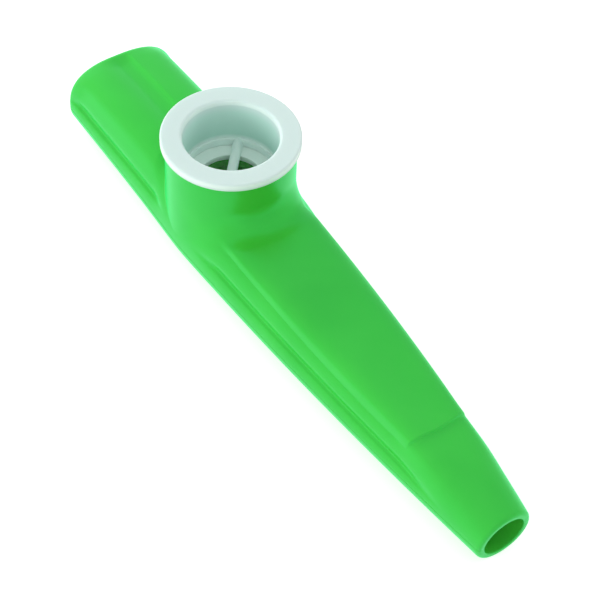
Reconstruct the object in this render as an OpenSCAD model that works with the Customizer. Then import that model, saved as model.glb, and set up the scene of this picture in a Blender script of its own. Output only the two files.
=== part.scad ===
// Plastic kazoo: an upper and a lower shell joined at a flat seam, and a turret
// whose cup holds a ringed membrane under a push-in cap.
// X runs along the body from the wide mouth end to the round outlet, and Z is up.
// The origin lies on the flat belly, under the middle of the length.
// Distances along the body are counted from the turret's axis, positive towards the
// outlet, and heights from the seam, unless a comment says otherwise.

/* [Body] */
// Length from the wide end to the outlet
body_len = 118.4; // [105:0.1:135]
// Distance from the wide end to the turret's axis
wide_len = 40.5; // [34:0.1:46]
// Width over the seam at the wide end
wide_w = 21.5; // [19:0.1:24]
// Width over the seam where the two tapers meet, before the swell at the turret
mid_w = 22.2; // [20:0.1:25]
// Diameter over the outlet lip
outlet_d = 10; // [9.6:0.1:11]
// Diameter of the hole in the outlet
outlet_bore_d = 7.5; // [6:0.1:7.8]
// Length of the round hole behind the outlet
outlet_bore_len = 7; // [4:0.1:12]
// Depth of the lower shell, from the seam to the flat belly
belly_depth = 4.9; // [4.4:0.05:5]
// Wall of both shells
wall = 1.5; // [1.2:0.05:1.8]
// Rounding around the wide end
wide_edge_r = 1.25; // [0.5:0.05:1.4]
// Rounding around the outlet lip
lip_edge_r = 0.6; // [0.3:0.05:0.8]

/* [Top line] */
// Height of the top at the wide end
top_wide_h = 8.15; // [7:0.05:10]
// Height of the top behind the turret, on its wide side
top_back_h = 9.9; // [8:0.05:11]
// Height of the top in front of the turret, on its outlet side
top_front_h = 9.35; // [8:0.05:11]
// Even fall of the top from the turret to the outlet
top_fall = 1.9; // [1:0.05:2.6]

/* [Side line] */
// How far the seam swells outward beside the turret
swell = 0.4; // [0.2:0.05:0.8]
// Distance along the body over which this swell fades
swell_run = 9; // [5:0.1:14]
// How far the side above the groove stands in from the seam
side_step = 0.5; // [0.2:0.05:0.8]
// Height of the groove at the wide end
groove_wide_h = 2.15; // [1.5:0.05:3]
// Height of the groove beside the turret
groove_mid_h = 4.3; // [3:0.05:4.6]
// Fall of the groove from the turret to the outlet
groove_fall = 3.9; // [2.5:0.05:4]
// Height of the shoulder above the groove
shoulder_h = 1.5; // [1:0.05:1.8]
// How far the shoulder stands out from the side
shoulder_out = 0.15; // [0:0.05:0.3]
// Length over which the step in the side fades out near the outlet
fade_run = 14; // [8:0.1:20]

/* [Panel] */
// Width of the raised panel at the turret
panel_root_w = 16.8; // [14:0.1:18]
// Width of the raised panel at its outer end
panel_tip_w = 10.2; // [8:0.1:11]
// Distance from the turret's axis to the panel's outer end
panel_end = 60.6; // [50:0.1:66]
// Height of the panel above the top
panel_h = 0.4; // [0.2:0.05:0.6]
// Width of the slope around the panel
panel_edge = 0.4; // [0.2:0.05:0.8]

/* [Flute] */
// Width of the shallow flute on the wide half
flute_w = 4.4; // [3:0.1:6]
// Depth of the flute
flute_depth = 0.42; // [0.2:0.02:0.6]
// Length over which the flute fades out at the wide end
flute_fade = 3; // [1:0.1:6]

/* [Turret] */
// Diameter of the turret at its rim
turret_d = 22.5; // [21.8:0.1:23.4]
// Height of the turret's rim above the seam
turret_h = 18.6; // [17:0.1:24]
// Draft of the turret's wall in degrees
turret_draft = 0.5; // [0.2:0.1:1]
// Radius of the soft blend from the turret to the top, on the outlet side
blend_front = 4.5; // [2:0.1:5.5]
// Radius of the tighter blend on the wide side
blend_back = 2; // [1:0.1:4]
// Diameter of the cup inside the turret
cup_d = 19.3; // [18.6:0.1:20]
// Thickness of the cup's floor
cup_floor_t = 1.4; // [1:0.05:2]
// Wall left around the cup below the body's top
cup_wall = 1.6; // [1.2:0.05:2]
// Small bevel around the turret's rim
rim_bevel = 0.25; // [0.1:0.05:0.5]

/* [Cap] */
// Diameter of the cap's flange
flange_d = 24; // [23.4:0.1:26]
// Thickness of the flange
flange_t = 1.5; // [1:0.05:2.5]
// Diameter of the cap's bore
cap_bore_d = 16.6; // [15:0.1:17.2]
// Diameter of the narrower land that carries the crossbar at the bottom of the bore
land_d = 15.8; // [14:0.1:16.4]
// Length of the skirt below the flange
skirt_len = 8.8; // [7:0.1:12]
// Running gap between skirt and cup, on each side
cap_gap = 0.05; // [0.02:0.01:0.1]
// Width of the crossbar at the bottom of the bore
bar_w = 1.8; // [1.2:0.1:3]
// Height of the crossbar, whose top stays below the land's
bar_h = 1.2; // [0.8:0.1:1.5]
// Height of the land
land_h = 1.5; // [1.2:0.1:2.4]
// Angle of the crossbar in plan, in degrees from the long axis
bar_angle = -41; // [-90:1:90]
// Rounding of the flange's upper edges
flange_edge_r = 0.5; // [0.2:0.05:0.7]

/* [Membrane] */
// Diameter of the hole in the membrane's ring, and of the throat below it
ring_hole_d = 11; // [8:0.1:13]
// Thickness of the ring
ring_t = 1.2; // [0.8:0.05:2]
// Gap between the ring and the cup, on each side
ring_gap = 0.15; // [0.1:0.05:0.4]
// Thickness of the film under the ring
film_t = 0.1; // [0.06:0.01:0.2]
// Distance by which the film's edge stays inside the ring's edge
film_inset = 0.4; // [0.2:0.05:1]

/* [Seam lip] */
// Height of the locating lip that stands inside the upper shell
lip_h = 1.2; // [0.6:0.05:2]
// Thickness of the locating lip
lip_t = 0.8; // [0.5:0.05:1]
// Gap between the lip and the upper shell
lip_gap = 0.1; // [0.05:0.01:0.2]
// Distance from the lip's two ends to the ends of the chamber
lip_setback = 5; // [3:0.1:8]

/* [Hidden] */
$fn = 96;

green = [0.27, 0.77, 0.28];
white = [0.86, 0.92, 0.92];
clear = [0.85, 0.90, 0.88, 0.5];

// Overrun of the cuts
over = 1;

narrow_len = body_len - wide_len;
turret_x = wide_len - body_len / 2;
turret_r = turret_d / 2;
cup_r = cup_d / 2;
outlet_r = outlet_d / 2;
// Radius of the turret's wall where it meets the seam
foot_r = turret_r + turret_h * tan(turret_draft);
// Level of the cup's floor: the cap's skirt, the ring and the film fill the cup above it
cup_floor_h = turret_h - skirt_len - ring_t - film_t;
// The blends take at most this share of the turret's height above the body
blend_share = 0.6;
blend_max = blend_share * (turret_h - top_back_h);
front_r = min(blend_front, blend_max);
back_r = min(blend_back, blend_max);

// Shape of the tapers: powers of the share of the way along each half
taper_pow = 1.6;
back_pow = 2.8;
tip_pow = 5;
panel_pow = 2.2;
// Powers of the rounded sections: wide half, long narrow half, outlet
wide_round = 2.6;
front_round = 3.0;
outlet_round = 2.05;
round_pow = 6;
// What the side above the groove adds to that power, per share of side step in width
square_share = 8;
// Concave curve of the strip between seam and groove
flare_pow = 1.7;
// How quickly the turret's blend fades down the sides
blend_pow = 3;

// Outlines in each stretch of the body
edge_n = 4;
back_n = 6;
blend_n = 6;
panel_n = 9;
tip_n = 6;
chamber_n = 20;
// Near the turret the outlines bend round it, out to this share of its radius sideways.
// The innermost lies inside its wall, at a larger share.
bend_share = 0.92;
inner_share = 0.965;
// Heights on the strip as shares of the groove's height
strip_shares = [0, 0.33, 0.67];
// Half widths between the flute's edge and the panel's edge, as shares of that way
crown_shares = [0.72, 0.38];
// Half widths across the flute as shares of its half width
flute_shares = [1, 0.75, 0.5, 0.25];

// Smooth change from 0 to 1
function smooth(t) = let (u = min(max(t, 0), 1)) u * u * (3 - 2 * u);

// Half width over the seam
function half_w(s) = swell * exp(-pow(s / swell_run, 2)) + (s < 0
    ? mid_w / 2 - (mid_w - wide_w) / 2 * sin(90 * min(-s / wide_len, 1))
    : mid_w / 2 - (mid_w / 2 - outlet_r) * pow(s / narrow_len, taper_pow));

// Height of the top without panel and flute
function top_h(s) = s < 0
    ? top_back_h - (top_back_h - top_wide_h) * pow(-s / wide_len, back_pow)
    : let (t = s / narrow_len, seat = exp(-pow(s * 2 / turret_r, 2)))
        top_front_h + (top_back_h - top_front_h) * seat - top_fall * t
        - (top_front_h - top_fall - outlet_r) * pow(t, tip_pow);

// Power of the rounded section
function roundness(s) = s < 0 ? wide_round
    : wide_round + (front_round - wide_round) * smooth(s / turret_r)
        - (front_round - outlet_round) * pow(s / narrow_len, round_pow);

// Depth of the step between strip and side, which fades out near the outlet
function step_in(s) = side_step * (1 - smooth((s + fade_run + outlet_bore_len - narrow_len) / fade_run));

// Half width of the chamber at the seam
function chamber_w(s) = half_w(s) - step_in(s) - wall;

function groove_h(s) = s < 0
    ? groove_mid_h - (groove_mid_h - groove_wide_h)
        * smooth((-s - turret_r / 2) / (wide_len - turret_r))
    : groove_mid_h - groove_fall * pow(s / narrow_len, 2);

// Half width of the panel. It also places the section's points on the wide half, and
// beyond the panel's end, where it narrows with the body.
function panel_half(s) = s < 0 ? panel_root_w / 2
    : s > panel_end ? panel_tip_w / 2 * half_w(s) / half_w(panel_end)
    : (panel_root_w - (panel_root_w - panel_tip_w) * pow(s / panel_end, panel_pow)) / 2;

function panel_rise(s) = panel_h * (s < 0 ? 0 : 1 - smooth((s - panel_end + panel_edge) / panel_edge));

function flute_cut(s) = s > 0 ? 0 : flute_depth * smooth((s + wide_len) / flute_fade);

// Rise of a blend of radius r at a distance d from the turret's axis
function blend_rise(d, r) = let (u = min(max(turret_r + r - d, 0), r)) r - sqrt(r * r - u * u);

// Half width and height of a rounded section with half width a, height b and power n
function at_height(z, a, b, n) = a * pow(max(1 - pow(z / b, n), 0), 1 / n);
function at_width(y, a, b, n) = b * pow(max(1 - pow(y / a, n), 0), 1 / n);

// Right half of the upper outline at distance s, drawn in by inset, from seam to middle
function upper_half(s, inset) = let (
    a = half_w(s) - inset,
    b = top_h(s) - inset,
    wide_share = a / half_w(s),
    high_share = b / top_h(s),
    step = step_in(s),
    side = a - step,
    n = roundness(s) + square_share * step / half_w(s),
    groove_z = groove_h(s) * high_share,
    groove_y = at_height(groove_z, side, b, n),
    shoulder_z = groove_z + shoulder_h * high_share,
    edge_y = panel_half(s) * wide_share,
    foot_y = edge_y + panel_edge * wide_share,
    foot_z = at_width(foot_y, side, b, n),
    flute_y = flute_w / 2 * edge_y / (panel_root_w / 2),
    out = shoulder_out * step / side_step,
    strip = [for (v = strip_shares)
        [groove_y + (a - groove_y) * pow(1 - v, flare_pow), groove_z * v]],
    rise = [
        [groove_y, groove_z],
        [at_height((groove_z + shoulder_z) / 2, side, b, n) + out / 2, (groove_z + shoulder_z) / 2],
        [at_height(shoulder_z, side, b, n) + out, shoulder_z],
        [at_height((shoulder_z + foot_z) / 2, side, b, n), (shoulder_z + foot_z) / 2],
        [foot_y, foot_z]],
    crown = [for (y = concat([edge_y],
            [for (v = crown_shares) flute_y + (edge_y - flute_y) * v],
            [for (v = flute_shares) flute_y * v], [0]))
        [y, at_width(y, side, b, n) + panel_rise(s)
            - flute_cut(s) * pow(cos(90 * min(y / flute_y, 1)), 2)]])
    [for (p = concat(strip, rise, crown))
        [s, p[0], p[1] + blend_rise(norm([s, p[0]]), s < 0 ? back_r : front_r)
            * pow(min(p[1] / b, 1), blend_pow)]];

// Right half of the upper outline that bends round the turret at distance d from its axis.
// Each point is moved along the body, in two passes, until it lies at that distance.
function along(d, y) = sqrt(d * d - pow(min(y, bend_share * turret_r), 2));
function bent_half(d, side) = let (first = upper_half(side * d, 0))
    [for (j = [0 : len(first) - 1])
        let (second = upper_half(side * along(d, first[j][1]), 0)[j])
            upper_half(side * along(d, second[1]), 0)[j]];

// Right half of the lower outline, from belly to seam. The belly runs below its plane.
function lower_half(s, inset) = let (a = half_w(s) - inset, r = belly_depth - inset) concat(
    [[s, a - r, -r - (inset > 0 ? 0 : over)]],
    [for (t = [75 : -15 : 0]) [s, a - r + r * cos(t), -r * sin(t)]]);

// Right half of the chamber's outline, from the floor's middle to the top's
function chamber_half(s) = let (
    a = chamber_w(s),
    b = top_h(s) - wall,
    r = belly_depth - wall,
    n = roundness(s))
    concat(
        [for (t = [90 : -18 : 18]) [s, a - r + r * cos(t), -r * sin(t)]],
        [for (t = [0 : 11.25 : 90]) [s, a * pow(cos(t), 2 / n), b * pow(sin(t), 2 / n)]]);

// Closed outline in the part's own frame: the right half, then its mirror image, without
// a second point on the middle plane
function outline(half) = [for (p = concat(half,
    [for (i = [len(half) - 1 : -1 : 0]) if (half[i][1] > 0) [half[i][0], -half[i][1], half[i][2]]]))
    [turret_x, 0, belly_depth] + p];

// Distances from one place up to another, without the last
function run(from, to, n) = [for (i = [0 : n - 1]) from + (to - from) * i / n];

// Places along the body as distance and inset, on both sides of the turret
back = concat(
    [for (t = [0 : 90 / edge_n : 89]) [-wide_len + wide_edge_r * (1 - cos(t)), wide_edge_r * (1 - sin(t))]],
    [for (s = run(wide_edge_r - wide_len, -turret_r - back_r, back_n)) [s, 0]]);
front_end = turret_r + front_r;
front = concat(
    [for (s = run(front_end, panel_end - panel_edge, panel_n)) if (s > front_end) [s, 0]],
    [[panel_end - panel_edge, 0]],
    [for (s = run(panel_end, narrow_len - lip_edge_r, tip_n)) [s, 0]],
    [for (t = [90 : -90 / edge_n : 0]) [narrow_len - lip_edge_r * (1 - cos(t)), lip_edge_r * (1 - sin(t))]]);
// Distances from the turret's axis to the rings of a blend of radius r, from inside its
// wall outward
function rings(r) = concat([inner_share * turret_r],
    [for (i = [1 : blend_n]) turret_r + r * (1 - cos(90 * i / blend_n))]);
front_rings = rings(front_r);
back_rings = [for (i = [blend_n : -1 : 0]) rings(back_r)[i]];

// Solid through a row of closed outlines with equal numbers of points
module loft(outlines) {
    m = len(outlines[0]);
    last = len(outlines) - 1;
    polyhedron(
        [for (o = outlines) each o],
        concat(
            [[for (j = [0 : m - 1]) j]],
            [for (i = [0 : last - 1], j = [0 : m - 1]) let (k = (j + 1) % m)
                each [[i * m + j, i * m + m + j, i * m + k], [i * m + k, i * m + m + j, i * m + m + k]]],
            [[for (j = [m - 1 : -1 : 0]) last * m + j]]),
        convexity = 10);
}

module at_turret(h) {
    translate([turret_x, 0, belly_depth + h]) children();
}

// Room inside both shells, out through the wide end and in to the outlet's hole
module chamber() {
    chamber_end = narrow_len - outlet_bore_len;
    loft([for (s = concat([-wide_len - over], run(over - wide_len, chamber_end, chamber_n), [chamber_end]))
        outline(chamber_half(s))]);
}

// Outer form of the upper shell without its turret
module upper_form() {
    loft([for (half = concat(
        [for (q = back) upper_half(q[0], q[1])],
        [for (d = back_rings) bent_half(d, -1)],
        [upper_half(0, 0)],
        [for (d = front_rings) bent_half(d, 1)],
        [for (q = front) upper_half(q[0], q[1])])) outline(half)]);
}

// Outer form of the lower shell, whose belly is still to be cut flat
module lower_form() {
    loft([for (q = concat(
        back,
        [for (d = back_rings) [-along(d, mid_w), 0]],
        [[0, 0]],
        [for (d = front_rings) [along(d, mid_w), 0]],
        front)) outline(lower_half(q[0], q[1]))]);
}

module outlet_bore() {
    translate([body_len / 2 - outlet_bore_len - over, 0, belly_depth])
        rotate([0, 90, 0])
            cylinder(d = outlet_bore_d, h = outlet_bore_len + 2 * over);
}

module turret() {
    at_turret(0)
        cylinder(r1 = foot_r, r2 = turret_r + rim_bevel * tan(turret_draft), h = turret_h - rim_bevel);
    at_turret(turret_h - rim_bevel)
        cylinder(r1 = turret_r, r2 = turret_r - rim_bevel, h = rim_bevel);
}

module upper_shell() {
    color(green) difference() {
        union() {
            upper_form();
            turret();
        }
        difference() {
            chamber();
            at_turret(cup_floor_h - cup_floor_t)
                cylinder(r = cup_r + cup_wall, h = turret_h);
        }
        at_turret(cup_floor_h)
            cylinder(r = cup_r, h = turret_h);
        at_turret(0)
            cylinder(d = ring_hole_d, h = turret_h);
        outlet_bore();
    }
}

// Thin wall along both sides of the chamber, between two distances inward from the
// chamber's sides and between two heights
module side_walls(outer, inner, low, high) {
    from = -wide_len + lip_setback;
    to = narrow_len - outlet_bore_len - lip_setback;
    places = concat(run(from, to, chamber_n), [to]);
    for (side = [-1, 1])
        translate([turret_x, 0, belly_depth + low])
            linear_extrude(high - low)
                polygon(concat(
                    [for (s = places) [s, side * (chamber_w(s) - outer)]],
                    [for (i = [chamber_n : -1 : 0]) [places[i], side * (chamber_w(places[i]) - inner)]]));
}

// Locating lip that stands up inside the upper shell, on a root that joins it to the wall
module seam_lip() {
    lip_foot = -2 * lip_t;
    root_share = 0.85;
    side_walls(lip_gap, lip_gap + lip_t, lip_foot, lip_h);
    side_walls(-wall / 2, lip_gap + lip_t / 2, root_share * lip_foot, -lip_t / 4);
}

module lower_shell() {
    color(green) {
        difference() {
            lower_form();
            chamber();
            outlet_bore();
            translate([-body_len, -mid_w, -2 * over])
                cube([2 * body_len, 2 * mid_w, 2 * over]);
        }
        seam_lip();
    }
}

// Flat ring in the profile of a turned piece
module band(from, to, low, high) {
    translate([from, low])
        square([to - from, high - low]);
}

module cap() {
    skirt_r = cup_r - cap_gap;
    bore_r = cap_bore_d / 2;
    land_r = land_d / 2;
    flange_r = flange_d / 2;
    e = flange_edge_r;
    color(white) at_turret(turret_h) {
        rotate_extrude() {
            band(land_r, skirt_r, -skirt_len, land_h - skirt_len);
            band(bore_r, skirt_r, -skirt_len, flange_t - e);
            band(bore_r, flange_r, 0, flange_t - e);
            band(bore_r + e, flange_r - e, 0, flange_t);
            for (r = [bore_r + e, flange_r - e])
                translate([r, flange_t - e])
                    circle(e);
        }
        intersection() {
            rotate([0, 0, bar_angle])
                translate([-skirt_r, -bar_w / 2, -skirt_len])
                    cube([2 * skirt_r, bar_w, bar_h]);
            translate([0, 0, -skirt_len])
                cylinder(r = (skirt_r + land_r) / 2, h = bar_h);
        }
    }
}

module membrane_ring() {
    color(white) at_turret(cup_floor_h + film_t) difference() {
        cylinder(r = cup_r - ring_gap, h = ring_t);
        translate([0, 0, -over])
            cylinder(d = ring_hole_d, h = ring_t + 2 * over);
    }
}

module membrane_film() {
    color(clear) at_turret(cup_floor_h)
        cylinder(r = cup_r - ring_gap - film_inset, h = film_t);
}

upper_shell();
lower_shell();
cap();
membrane_ring();
membrane_film();
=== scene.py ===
"""A green moulded plastic kazoo with a white push-in cap, dressed for its photograph.

Sections are counted as on the part: s is the distance from the turret's axis, positive
towards the outlet, y the distance from the middle plane and z the height above the seam,
all in millimetres. They become metres in the part's frame when a piece is made.
"""

import math

import bmesh
import bpy
import numpy as np
from mathutils import Matrix, Vector


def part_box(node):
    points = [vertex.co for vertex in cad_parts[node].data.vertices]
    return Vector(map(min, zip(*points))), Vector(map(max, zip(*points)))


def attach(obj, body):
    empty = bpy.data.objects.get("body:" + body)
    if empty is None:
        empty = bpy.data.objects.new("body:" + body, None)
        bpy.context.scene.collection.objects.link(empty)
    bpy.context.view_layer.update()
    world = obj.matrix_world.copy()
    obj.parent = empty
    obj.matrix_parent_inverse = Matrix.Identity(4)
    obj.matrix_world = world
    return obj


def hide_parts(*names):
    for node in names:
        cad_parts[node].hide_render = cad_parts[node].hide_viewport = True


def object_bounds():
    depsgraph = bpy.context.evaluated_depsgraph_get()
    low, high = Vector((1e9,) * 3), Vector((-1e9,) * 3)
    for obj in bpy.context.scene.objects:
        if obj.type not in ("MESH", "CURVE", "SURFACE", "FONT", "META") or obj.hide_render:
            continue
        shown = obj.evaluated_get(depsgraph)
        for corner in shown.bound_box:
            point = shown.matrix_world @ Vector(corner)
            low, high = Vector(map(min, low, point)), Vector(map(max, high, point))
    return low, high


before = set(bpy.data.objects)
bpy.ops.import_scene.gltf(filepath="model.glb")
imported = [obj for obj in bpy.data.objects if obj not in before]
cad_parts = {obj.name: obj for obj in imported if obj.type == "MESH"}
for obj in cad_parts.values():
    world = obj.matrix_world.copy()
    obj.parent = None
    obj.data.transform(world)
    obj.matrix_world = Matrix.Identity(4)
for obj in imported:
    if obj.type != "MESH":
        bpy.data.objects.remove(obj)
cad_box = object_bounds()

MM = 0.001


def corners(node):
    """Lowest and highest corner of a CAD node, in mm."""
    low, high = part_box(node)
    return np.array(low) / MM, np.array(high) / MM


# Sizes from the frame

shell_low, shell_high = corners("upper_shell")
cap_low, cap_high = corners("cap")
ring_low, ring_high = corners("membrane_ring")
film_low, film_high = corners("membrane_film")

AXIS_X = (cap_low[0] + cap_high[0]) / 2
BELLY = shell_low[2]
RIM = shell_high[2] - BELLY
WIDE = AXIS_X - shell_low[0]
NARROW = shell_high[0] - AXIS_X
FLANGE_R = (cap_high[1] - cap_low[1]) / 2
FLANGE_T = cap_high[2] - BELLY - RIM
SKIRT = BELLY + RIM - cap_low[2]
RING_R = (ring_high[1] - ring_low[1]) / 2
FILM_R = (film_high[1] - film_low[1]) / 2
CUP_FLOOR = film_low[2] - BELLY

# The body's sizes

# Width over the seam at the mouth and at the turret, and radius of the outlet end
WIDE_W, MID_W, OUTLET_R = 21.7, 22.6, 5.0
# The body swells slightly beside the turret
SWELL, SWELL_RUN = 0.2, 9.0
# The top line above the mouth, behind and in front of the turret, and its fall from there
TOP_WIDE, TOP_BACK, TOP_FRONT, TOP_FALL = 8.15, 9.9, 9.35, 1.9
# The side stands in from the strip along the seam, and the step fades out at both ends
SIDE_STEP, FADE_RUN, MOUTH_FADE = 1.15, 14.0, 5.0
# Height of the groove between the two at the mouth and at the turret, and its fall
GROOVE_WIDE, GROOVE_MID, GROOVE_FALL, GROOVE_POW = 1.7, 2.7, 1.8, 1.3
# Depth and height of the groove's hollow, and how far the strip turns on its way there
GROOVE_R, GROOVE_RISE, STRIP_TURN = 0.5, 0.8, math.radians(78)
# The side stands out a little above the groove
SHOULDER_H, SHOULDER_DROP, SHOULDER_OUT = 1.8, 3.0, 0.35
# The panel's width at the turret and at its end, its length, and the bow of that end
PANEL_ROOT, PANEL_TIP, PANEL_END, PANEL_BOW = 17.2, 10.6, 60.6, 0.6
# Its height, the width of its slope and that of the roll above the slope
PANEL_H, PANEL_EDGE, PANEL_ROLL = 0.5, 0.4, 0.7
# The side draws in at the panel's foot, up to this distance from the panel's end
FOOT_IN, FOOT_FADE = 0.3, 4.0
# Places across the flute, and how steeply it falls at each
FLUTE_AT = (-5.0, -1.5, -0.8, 0.6, 1.6, 2.0)
FLUTE_SLOPE = (0, 0.38, 0, -0.2, -0.8, 0)
# Half width of the middle columns, and the run over which the flute fades at the mouth
FLUTE_HALF, FLUTE_FADE = 2.6, 4.0
WALL, WIDE_EDGE_R, LIP_EDGE_R, SEAM_EDGE_R = 1.5, 1.25, 0.6, 0.12
OUTLET_BORE_R, OUTLET_BORE_LEN = 3.75, 7.0

# The lip inside the lower shell that centres the upper one, and the edges of lip and root
LOCATING_LIP_H, LOCATING_LIP_T, LOCATING_LIP_GAP, LOCATING_LIP_BACK = 1.2, 0.8, 0.1, 5.0
LOCATING_LIP_EDGE, ROOT_EDGE = 0.15, 0.05

# The turret's sizes

TURRET_R, DRAFT, RIM_EDGE_R = 11.25, math.tan(math.radians(0.5)), 0.45
CUP_R, CUP_FLOOR_T, CUP_WALL, THROAT_R = 9.65, 1.4, 1.6, 5.5
# It flows into the panel in a wide fillet and meets the wide half in a tight one
FILLET_FRONT, FILLET_BACK = 4.5, 0.9
FILLET_TURN = (math.radians(75), math.radians(112))
LEAST_FILLET = 0.02
# Relief on the body fades in between these distances from its wall
RELIEF_FROM, RELIEF_FRONT, RELIEF_BACK = 0.5, 5.5, 3.0

# Steps of the two searches for a place on a surface
NEWTON_STEPS, BISECTIONS = 6, 40

# Powers of the tapers and of the rounded sections
TAPER_POW, BACK_POW, TIP_POW, PANEL_POW = 1.6, 2.8, 5.0, 2.2
WIDE_ROUND, FRONT_ROUND, OUTLET_ROUND, ROUND_POW, SQUARE_SHARE = 2.6, 3.0, 2.05, 6.0, 13.0
FILLET_POW, ROLL_POW, FOOT_POW = 3, 3, 6

# Section rules


def smooth(t):
    """Eases from 0 to 1 while t goes from 0 to 1."""
    u = np.clip(t, 0, 1)
    return u * u * (3 - 2 * u)


def half_width(s):
    """Half width over the seam."""
    back = MID_W / 2 - (MID_W - WIDE_W) / 2 * np.sin(np.pi / 2 * np.clip(-s / WIDE, 0, 1))
    front = MID_W / 2 - (MID_W / 2 - OUTLET_R) * np.clip(s / NARROW, 0, None) ** TAPER_POW
    return SWELL * np.exp(-((s / SWELL_RUN) ** 2)) + np.where(s < 0, back, front)


def top(s):
    """Height of the top line without panel and flute."""
    back = TOP_BACK - (TOP_BACK - TOP_WIDE) * np.clip(-s / WIDE, 0, None) ** BACK_POW
    t = np.clip(s / NARROW, 0, None)
    seat = np.exp(-((2 * s / TURRET_R) ** 2))
    front = (TOP_FRONT + (TOP_BACK - TOP_FRONT) * seat - TOP_FALL * t
             - (TOP_FRONT - TOP_FALL - OUTLET_R) * t ** TIP_POW)
    return np.where(s < 0, back, front)


def roundness(s):
    """Power of the rounded section: 2 is an ellipse, and more is squarer."""
    front = (WIDE_ROUND + (FRONT_ROUND - WIDE_ROUND) * smooth(s / TURRET_R)
             - (FRONT_ROUND - OUTLET_ROUND) * np.clip(s / NARROW, 0, None) ** ROUND_POW)
    return np.where(s < 0, WIDE_ROUND, front)


def side_step(s):
    """Step in from the seam's strip to the side, which fades out towards both ends."""
    return (SIDE_STEP * (1 - smooth((s + FADE_RUN + OUTLET_BORE_LEN - NARROW) / FADE_RUN))
            * smooth((s + WIDE) / MOUTH_FADE))


def groove_height(s):
    """Height of the groove above the seam."""
    back = (GROOVE_MID - (GROOVE_MID - GROOVE_WIDE)
            * smooth((-s - TURRET_R / 2) / (WIDE - TURRET_R)))
    front = GROOVE_MID - GROOVE_FALL * np.clip(s / NARROW, 0, None) ** GROOVE_POW
    return np.where(s < 0, back, front)


def panel_half(s):
    """Half width of the raised panel, which also places the columns where there is none."""
    on = (PANEL_ROOT - (PANEL_ROOT - PANEL_TIP)
          * np.clip(s / PANEL_END, 0, 1) ** PANEL_POW) / 2
    past = half_width(np.maximum(s, PANEL_END)) / half_width(np.array(PANEL_END))
    return on * past


def panel_rise(s, y):
    """Rise of the panel, whose outer end is slightly bowed."""
    end = PANEL_END - PANEL_BOW * (2 * y / PANEL_TIP) ** 2
    return np.where(s < 0, 0, PANEL_H * (1 - smooth((s - end + PANEL_EDGE) / PANEL_EDGE)))


def flute_cut(s, y):
    """Depth of the flute on the wide half: its floor falls gently, and then a steep riser
    brings it back up. The slope changes evenly between the places in FLUTE_AT."""
    across = np.linspace(FLUTE_AT[0], FLUTE_AT[-1], 161)
    slope = np.interp(across, FLUTE_AT, FLUTE_SLOPE)
    drop = np.cumsum(slope) * (across[1] - across[0])
    drop -= np.linspace(0, drop[-1], len(drop))
    fade = np.where(s > 0, 0, smooth((s + WIDE) / FLUTE_FADE))
    return np.interp(y, across, drop, 0, 0) * fade


def at_height(z, a, b, n):
    """Half width at height z of a rounded section a wide, b high and of power n."""
    return a * np.clip(1 - (z / b) ** n, 0, None) ** (1 / n)


def at_width(y, a, b, n):
    """Its height at distance y from the middle."""
    return b * np.clip(1 - (y / a) ** n, 0, None) ** (1 / n)


def turret_wall(z):
    """Radius of the turret's drafted wall at height z."""
    return TURRET_R + (RIM - z) * DRAFT


# Columns of the upper shell's outline

# Heights of the rounded seam edge, then shares of the strip, the side, the panel's slope
# and the crown, from the seam to the middle
EDGE_STEPS = SEAM_EDGE_R * np.array([0, 0.1, 0.4, 1])
EDGE_SHARE = 0.06
STRIP_STEPS = np.linspace(0.08, 1, 13)
SIDE_STEPS = np.linspace(0, 1, 29)[1:] ** 1.35
SLOPE_STEPS = np.linspace(0, 1, 12)[1:] ** 1.5
CROWN_STEPS = np.linspace(1, 0, 13)[1:]
FLUTE_STEPS = np.linspace(1, 0, 15)[1:]
HALF = sum(map(len, (
    EDGE_STEPS, STRIP_STEPS, SIDE_STEPS, SLOPE_STEPS, CROWN_STEPS, FLUTE_STEPS)))


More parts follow.
